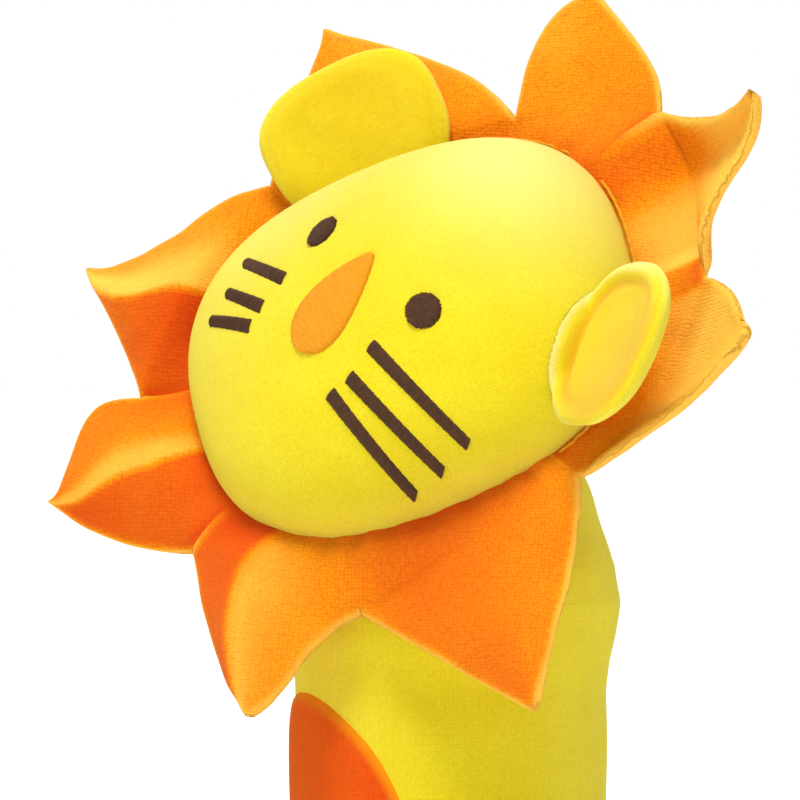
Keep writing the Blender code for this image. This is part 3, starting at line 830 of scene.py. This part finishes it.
def painted_shading(index, columns):
    """The painted shade and painted highlight at each row and column."""
    shape = PETALS[index]
    rows = np.arange(BAND_ROWS + PETAL_ROWS + 1)
    v = np.clip((rows - BAND_ROWS) / PETAL_ROWS, 0, 1)[:, None]
    line = shape.line[0] + (shape.line[1] - shape.line[0]) * v
    soft = 0.12 if shape.fold > CREASE else 0.5
    columns = on_line(columns[None, :], line)
    side = smooth_step((columns - line) / soft / 2 + 0.5)
    # the two sides of the fold get the painted tones of a lit and a shaded side
    low, high = shape.tones
    before = PETALS[index - 1].tones[1]
    after = PETALS[(index + 1) % len(PETALS)].tones[0]
    band = np.clip(1 - (rows - BAND_ROWS) / 8, 0, 1)[:, None]
    # each border's tone is shared by the two petals beside it
    near_low = np.exp(-(((columns + 1) / 0.25) ** 2)) * band
    near_high = np.exp(-(((1 - columns) / 0.25) ** 2)) * band
    tone = low * (1 - side) + high * side
    tone = tone * (1 - near_low) + (before + low) / 2 * near_low
    tone = tone * (1 - near_high) + (after + high) / 2 * near_high
    # a pale crest beside the fold is a painted highlight
    crest_side, crest_tone, crest_width = shape.crest
    beyond = (columns - line) * crest_side
    crest = np.exp(-((np.maximum(beyond, 0) / crest_width) ** 2)) * smooth_step(beyond / 0.08 + 1)
    tone = tone * (1 - np.abs(crest_tone) * crest) + crest_tone * crest * smooth_step(rows[:, None] / 12)
    # a petal that lies over its neighbour gets a painted line along their border, and painted shadow under
    # its edge
    fading = np.clip((rows / BAND_ROWS) * 1.4 - 0.3, 0, 1) * np.clip(1 - (rows - BAND_ROWS) / 5, 0, 1)
    for border, pale, inset in LAPS.get(index, ()):
        place = 1 - border * columns - inset
        under = 1.5 * smooth_step(-place / 0.12) if inset else 0
        tone = tone + (pale * np.exp(-((place / 0.08) ** 2)) + under) * fading[:, None]
    # the tip adds its painted highlight or painted shade
    return (tone + shape.tip_tone * smooth_step(v / 0.6)).ravel()


def make_mane(index, edges):
    rows, columns = mane_sector(index)
    count, width = rows.shape[:2]
    points = rows.reshape(-1, 3).copy()
    distance = edge_distance(points, edges).reshape(count, width)
    distance[BAND_ROWS:, 0] = distance[BAND_ROWS:, -1] = 0
    distance[-1] = 0
    distance = distance.ravel()
    seam = (outline_share(points[:, 0], points[:, 2]) - 1) * MEAN_RADIUS
    # gathers by the head's seam, and slow waves that fade out at the free edges
    angle = np.arctan2(points[:, 0], points[:, 2])
    gathers = 0.25 * np.sin(angle * 34 + 1.7 * np.sin(angle * 7)) * np.exp(-np.clip(seam, 0, 99) / 4.0)
    waves = np.array([wrinkle(*p, 11.0, 3.1) + 0.5 * wrinkle(*p, 5.0, 8.3) for p in points])
    points[:, 1] += gathers + 0.8 * waves * smooth_step(seam / 8)
    half = CLOTH_HALF * np.sqrt(1 - (1 - np.clip(distance / CLOTH_HALF, 0, 1)) ** 2)
    grid = points.reshape(count, width, 3)
    normal = np.cross(np.gradient(grid, axis=0).reshape(-1, 3), np.gradient(grid, axis=1).reshape(-1, 3))
    normal /= np.maximum(np.linalg.norm(normal, axis=1, keepdims=True), 1e-12)
    normal *= np.sign(-normal[:, 1:2] + 1e-9)
    # neighbours share their border, so the cloth's thickness runs straight back there
    border = np.exp(-(((1 - np.abs(columns)) / 0.12) ** 2))
    straight = np.concatenate([np.ones(BAND_ROWS + 1), 1 - smooth_step(np.linspace(0, 5, PETAL_ROWS))])
    straight = (border[None, :] * straight[:, None]).reshape(-1, 1)
    normal = normal * (1 - straight) + np.array((0, -1, 0)) * straight
    # and near the tip, where the columns crowd together, it keeps one direction
    normal = normal.reshape(count, width, 3)
    middle = normal[-14:-8, width // 4 : -width // 4].mean(axis=(0, 1))
    crowded = smooth_step((np.arange(count) - (count - 12)) / 8)[:, None, None]
    normal = (normal * (1 - crowded) + middle * crowded).reshape(-1, 3)
    normal /= np.linalg.norm(normal, axis=1, keepdims=True)
    front = points + normal * half[:, None]
    back = points - normal * half[:, None]
    faces = grid_faces(count, width) + grid_faces(count, width, start=len(points), flip=True)
    cloth = np.concatenate([points * (1, 0, 1), points * (1, 0, 1) + (3, 0, 3)])
    # painted shade near the head's seam, from the root's tone
    root_tone = PETALS[index].root_tone
    shade = painted_shading(index, columns) + root_tone * np.exp(-np.clip(seam, 0, 99) / (3.0 + 2.5 * root_tone))
    shade = np.clip(shade, -1, 1)
    # a painted highlight on the free edges, where the cloth catches the light; the back layer gets half the
    # painted tones
    on_edge = np.exp(-((distance / 0.7) ** 2))
    shade = np.concatenate([shade, 0.5 * shade]) * (1 - np.tile(on_edge, 2)) - 0.8 * np.tile(on_edge, 2)
    obj = piece(f"mane_{index + 1}", np.concatenate([front, back]), faces, HEAD, ORANGE, cloth, shade)
    weld(obj, 0.01)
    return obj


def weld(obj, distance):
    """Joins points within a distance in mm, and turns the faces outwards."""
    bm = bmesh.new()
    bm.from_mesh(obj.data)
    bmesh.ops.remove_doubles(bm, verts=bm.verts, dist=distance * MM)
    bmesh.ops.dissolve_degenerate(bm, edges=bm.edges, dist=1e-7)
    bmesh.ops.recalc_face_normals(bm, faces=bm.faces)
    bm.to_mesh(obj.data)
    bm.free()
    obj.data.update()


def flat_area(rows):
    """The area of a grid of points, in square metres."""
    a, b, c, d = rows[:-1, :-1], rows[:-1, 1:], rows[1:, 1:], rows[1:, :-1]
    one = np.linalg.norm(np.cross(b - a, d - a), axis=2)
    two = np.linalg.norm(np.cross(b - c, d - c), axis=2)
    return float((one + two).sum() / 2) * MM * MM


def build_mane():
    edges = []
    for i in range(len(PETALS)):
        rows, _ = mane_sector(i)
        for line in (rows[BAND_ROWS:, 0], rows[BAND_ROWS:, -1], rows[-1]):
            edges += list(zip(line, line[1:]))
    for i in range(len(PETALS)):
        obj = make_mane(i, edges)
        nodes = [f"mane_petal_{i + 1}"]
        if i == 0:
            nodes.append("mane_band")
        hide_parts(*nodes)
        low, high, tip = corners(i)
        middle = (low + high) / 2
        chord = (high - low) * (1, 0, 1)
        chord /= np.linalg.norm(chord)
        out = (tip - middle) * (1, 0, 1)
        out -= chord * out.dot(chord)
        out /= np.linalg.norm(out)
        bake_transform(obj)
        # two layers, cut as one piece that is folded at the tip
        area = 2 * flat_area(mane_sector(i)[0])


# ---------------------------------------------------------------- ears

EAR_ROOT = 7.4
EAR_TUCK = -6.0
# an ear on the face is tucked in this much less, and lies this far off the face
EAR_LESS_TUCK = 1.8
EAR_LIFT = 0.5
# how far outside the head an ear's root keeps in front of the mane's middle
EAR_AHEAD = 1.6
# two heights along an ear's length, in mm; make_ear only turns them into two points
EAR_BEND = (-2.0, 6.0)
EAR_STEPS = 48
# each ear's root in the head's frame, its side, how it rises and leans forward, its half width, how far it
# reaches, how deep its cup is, and half its thickness
EARS = {
    "left": (Vector((29.3, -8.9, 15.3)), 1, math.radians(17.6), math.radians(34.6), 12.8, 20.5, 2.6, 2.3),
    "right": (Vector((-22.6, -2.0, 15.5)), -1, math.radians(28), math.radians(26), 14.2, 16.6, 0.9, 2.6),
}


def ear_frame(place, side, rise, lean):
    outward = Vector((side * math.cos(rise), 0, math.sin(rise)))
    out = outward * math.cos(lean) + Vector((0, -1, 0)) * math.sin(lean)
    back = outward * math.sin(lean) + Vector((0, 1, 0)) * math.cos(lean)
    turn = Matrix((back.cross(out), back, out)).transposed().to_4x4()
    return HEAD @ Matrix.Translation(place * MM) @ turn


def moved(point, matrix):
    """A point in mm taken through a matrix in metres."""
    return (matrix @ (Vector(point) * MM)) / MM


def ear_layers(word, x, z, radius, on_face):
    """The front and the rear layer of an ear in its own frame, and the painted shade and highlight of both.
    """
    _, side, _, _, half_width, top, cup, half_thickness = EARS[word]
    safe = np.maximum(radius, 1e-9)
    fuller = 1 / (np.abs(x / safe) ** 2.5 + np.abs(z / safe) ** 2.5) ** 0.4
    px = x * fuller * half_width
    pz = z * fuller
    below = EAR_ROOT - EAR_TUCK - (EAR_LESS_TUCK if on_face else 0)
    pz = EAR_ROOT + np.where(pz > 0, pz * (top - EAR_ROOT), pz * below)
    rim = np.exp(-(((radius - 0.8) / 0.2) ** 2))
    thick = half_thickness * (0.85 + 0.2 * rim) * np.sqrt(np.maximum(0, 1 - radius**3.4))
    dish = cup * (1 - radius**2) - cup * 0.45
    dish += 0.25 * np.array([wrinkle(a, 0, b, 6.0, 2.0 + side) for a, b in zip(px, pz)])
    # an ear on the face has a rolled edge near it, with a groove inside the edge
    roll = np.exp(-(((radius - 0.87) / 0.07) ** 2))
    groove = np.exp(-(((radius - 0.74) / 0.06) ** 2))
    near = np.clip(0.6 - 0.9 * z - 0.5 * x, 0, 1) if on_face else np.zeros(len(x))
    front = np.stack([px, dish - thick - near * (0.6 * roll - 0.5 * groove), pz], 1)
    rear = np.stack([px, dish + thick, pz], 1)
    # painted shade, deeper towards the ear's tip and outer side; on the ear on the face, painted shade in the
    # groove and a painted highlight on the rolled edge
    shade = 0.22 + 0.16 * cup * np.clip(0.4 + 0.7 * z + 0.5 * x, 0, 1.6)
    shade += 0.5 * groove * near - 0.9 * near * np.clip((radius - 0.78) / 0.12, 0, 1)
    # both layers have the same painted tone where they meet, a painted highlight on the edge near the face
    at_rim = np.clip((radius - 0.85) / 0.15, 0, 1) ** 2
    meeting = (-0.1 - 0.7 * near) * at_rim
    return front, rear, np.concatenate([shade * (1 - at_rim) + meeting, 0.1 * (1 - at_rim) + meeting])


def make_ear(word, drop=None):
    """A padded ear: two layers sewn round the rim, dished towards the front, with its root in the head.

    With drop, which gives places on the face, the front layer's root lies on the face.
    """
    turn = ear_frame(*EARS[word][:4])
    x, z, radius = flat_disc(EAR_STEPS)
    front, rear, shade = ear_layers(word, x, z, radius, drop)
    to_head = HEAD_INVERSE @ turn
    from_head = to_head.inverted()
    for i in np.nonzero(z < 0.0)[0] if drop else ():
        p = moved(front[i], to_head)
        if outline_share(p.x, p.z) > 0.95:
            continue
        short = (p.y - drop(p.x, p.z)[1] + EAR_LIFT) * smooth_step(-z[i] / 0.4)
        if short > 0:
            front[i] = moved(p - Vector((0, short, 0)), from_head)
            q = moved(rear[i], to_head)
            rear[i] = moved(q - Vector((0, short * radius[i] ** 8, 0)), from_head)
    # outside the head the root stays in front of the mane
    for layer in (front, rear):
        for i in np.nonzero(z < 0.5)[0]:
            p = moved(layer[i], to_head)
            if p.y > -EAR_AHEAD and outline_share(p.x, p.z) > 0.93:
                p.y = -EAR_AHEAD
                layer[i] = moved(p, from_head)
    points = np.concatenate([front, rear])
    faces = grid_faces(EAR_STEPS, EAR_STEPS) + grid_faces(EAR_STEPS, EAR_STEPS, start=len(front), flip=True)
    obj = piece(f"ear_{word}", points, faces, turn, YELLOW, None, shade)
    weld(obj, 0.01)
    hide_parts(f"ear_{word}_front", f"ear_{word}_back")
    start, end = (turn @ Vector((0, 0, up * MM)) for up in EAR_BEND)
    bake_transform(obj)
    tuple(start)
    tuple(end)


# ---------------------------------------------------------------- body

# radius and height in mm up the body
BODY_PROFILE = (
    (21.9, 0.0), (22.5, 1.2), (22.6, 10.0), (22.5, 30.0), (22.4, 50.0),
    (22.5, 66.0), (22.9, 69.5), (23.9, 73.5), (24.7, 78.0), (24.1, 83.0),
    (22.3, 88.0), (20.6, 93.0), (18.6, 98.0), (15.0, 102.5), (10.0, 105.0),
)
BODY_RADIUS = 22.5
BODY_SIDES = 132
BODY_ROWS = 120
BELLY_HALF_ARC = 24.0
BELLY_HALF_HEIGHT = 30.0
BELLY_MIDDLE = 35.5
BELLY_STEPS = 64
BASE_RADIUS = 21.8
BASE_STEPS = 48
NECK_STITCHES = 44


def head_share(point):
    """How far out a point in mm in the body's frame is from the head's middle: 1 on the head's surface."""
    local = HEAD_INVERSE @ (Vector(point) * MM) / MM
    depth = FACE_DEPTH if local.y < 0 else BACK_DEPTH
    flat = float(outline_share(np.float64(local.x), np.float64(local.z)))
    return math.hypot(flat ** (1 / BULGE_POWER), local.y / depth)


def make_body():
    """The plush tube, whose closed top is dished to the shape of the head that rests in it."""
    radii, heights = np.array(BODY_PROFILE).T
    run = np.concatenate([[0], np.cumsum(np.hypot(np.diff(radii), np.diff(heights)))])
    stops = np.linspace(0, run[-1], BODY_ROWS)
    points, shade, cloth = [], [], []
    middle = HEAD_MIDDLE / MM
    for stop in stops:
        radius, height = np.interp(stop, run, radii), np.interp(stop, run, heights)
        for j in range(BODY_SIDES):
            angle = 2 * math.pi * j / BODY_SIDES
            s, c = math.sin(angle), math.cos(angle)
            fold = 0.35 * wrinkle(radius * c, radius * s, height, 11.0, 1.4)
            # the cloth creases more under the head
            fold += 0.5 * wrinkle(c * 2, s * 2, height * 0.6, 4.0, 7.7) * smooth_step((height - 60) / 15)
            r = radius + fold
            p = Vector((r * s, -r * c, height))
            share = head_share(p)
            if share < 1.0:
                p = middle + (p - middle) / share
            points.append(p)
            # the knit mirrors at the front and at the back, so that it has no jump
            cloth.append((min(angle, 2 * math.pi - angle) * BODY_RADIUS, 0.0, stop))
            # painted shade on the plush where it meets the head
            shade.append(0.6 * math.exp(-(((share - 1) * 30 / 1.6) ** 2)) if height > 80 else 0)
    faces = grid_faces(BODY_ROWS, BODY_SIDES, wrap=True)
    cap = len(points)
    points.append(Vector((0, 0, heights[-1])))
    share = head_share(points[-1])
    if share < 1:
        points[-1] = middle + (points[-1] - middle) / share
    cloth.append((0, 0, run[-1]))
    shade.append(0)
    last = (BODY_ROWS - 1) * BODY_SIDES
    faces += [(last + j, last + (j + 1) % BODY_SIDES, cap) for j in range(BODY_SIDES)]
    return piece("body_plush", points, faces, Matrix(), YELLOW, cloth, shade)


def finish_body(obj):
    """Hides the CAD pieces that the plush stands for, and bakes the plush's place into its points."""
    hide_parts("body_sleeve", "body_stuffing", "neck_cuff")
    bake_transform(obj)


def make_belly(body):
    """The oval patch on the body's front, with a turned edge that sinks into the plush."""
    tree = BVHTree.FromObject(body, bpy.context.evaluated_depsgraph_get())
    x, z, radius = flat_disc(BELLY_STEPS)
    points, cloth = [], []
    thick = 1.0 * (1 - radius**14) ** 0.5 - 0.25 * radius**14
    for a, b, rise in zip(x, z, thick):
        arc, height = a * BELLY_HALF_ARC, BELLY_MIDDLE + b * BELLY_HALF_HEIGHT
        angle = arc / BODY_RADIUS
        ahead = Vector((math.sin(angle), -math.cos(angle), 0))
        hit, _, _, _ = tree.ray_cast(Vector((0, 0, height)) * MM, ahead)
        points.append(hit / MM + ahead * rise)
        cloth.append((arc, 0.0, height))
    # a painted highlight round the patch's edge and on its side towards the lion's right
    shade = -0.75 * np.clip((radius - 0.93) / 0.05, 0, 1) - 0.55 * smooth_step((-x - 0.15) / 0.8)
    faces = grid_faces(BELLY_STEPS, BELLY_STEPS)
    obj = piece("belly_patch_cloth", points, faces, Matrix(), RED_ORANGE, cloth, shade)
    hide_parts("belly_patch")
    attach(obj, "body")


def make_base():
    x, z, radius = flat_disc(BASE_STEPS)
    points = np.stack([x * BASE_RADIUS, -z * BASE_RADIUS, 0.45 * radius**16 + 0.02 * (1 - radius)], 1)
    obj = piece("base_cloth", points, grid_faces(BASE_STEPS, BASE_STEPS, flip=True), Matrix(), YELLOW, points)
    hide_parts("base_disc")
    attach(obj, "body")


def make_neck_stitches():
    """Whip stitches round the line where the body's top meets the head."""
    paths = []
    middle = HEAD_MIDDLE / MM
    radii, heights = zip(*BODY_PROFILE)
    for i in range(NECK_STITCHES):
        angle = 2 * math.pi * i / NECK_STITCHES
        for height in np.linspace(70, 104, 240):
            radius = np.interp(height, heights, radii)
            found = Vector((radius * math.sin(angle), -radius * math.cos(angle), height))
            if head_share(found) < 1.0:
                break
        else:
            continue
        down = Vector((found.x, found.y, 0)).normalized() * 0.3 - Vector((0, 0, 1))
        along = Vector((math.cos(angle), math.sin(angle), 0))
        path = []
        for k in range(7):
            share = k / 6
            p = found - down * (1.1 - 2.3 * share) + along * (0.5 - share)
            s = head_share(p)
            if s < 1:
                p = middle + (p - middle) / s
            out = (p - middle).normalized() if share < 0.5 else Vector((p.x, p.y, 0)).normalized()
            path.append(p + out * (0.35 * math.sin(math.pi * share) - 0.1))
        paths.append(path)
    obj = tubes("neck_stitches", paths, 0.22, Matrix(), YELLOW_THREAD)
    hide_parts("neck_stitching")
    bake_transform(obj)


# ---------------------------------------------------------------- assembly

make_camera()
make_stage()

face, face_hold = make_dome("face", FACE_DEPTH, -1)
inflate(face, face_hold, 4.0, 0.8)
back, back_hold = make_dome("head_back", BACK_DEPTH, 1)
inflate(back, back_hold, 4.0, 0.8)
for panel, nodes in ((face, ("face_panel", "head_stuffing")), (back, ("head_back_panel",))):
    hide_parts(*nodes)
    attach(panel, "head")
make_face_seam()
on_face = surface_of(face, HEAD)
make_nose(on_face)
for word in ("left", "right"):
    make_eye(f"eye_{word}", EYES[word], on_face)
    for number, (inner, outer) in enumerate(WHISKERS[word], 1):
        make_whisker(f"whisker_{word}_{number}", inner, outer, on_face)
build_mane()
make_ear("left", on_face)
make_ear("right")
body = make_body()
make_belly(body)
finish_body(body)
make_base()
make_neck_stitches()

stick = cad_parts["core_stick"]
birch = wood_material()
for slot_index in range(len(stick.material_slots)):
    stick.material_slots[slot_index].material = birch

bpy.context.view_layer.update()
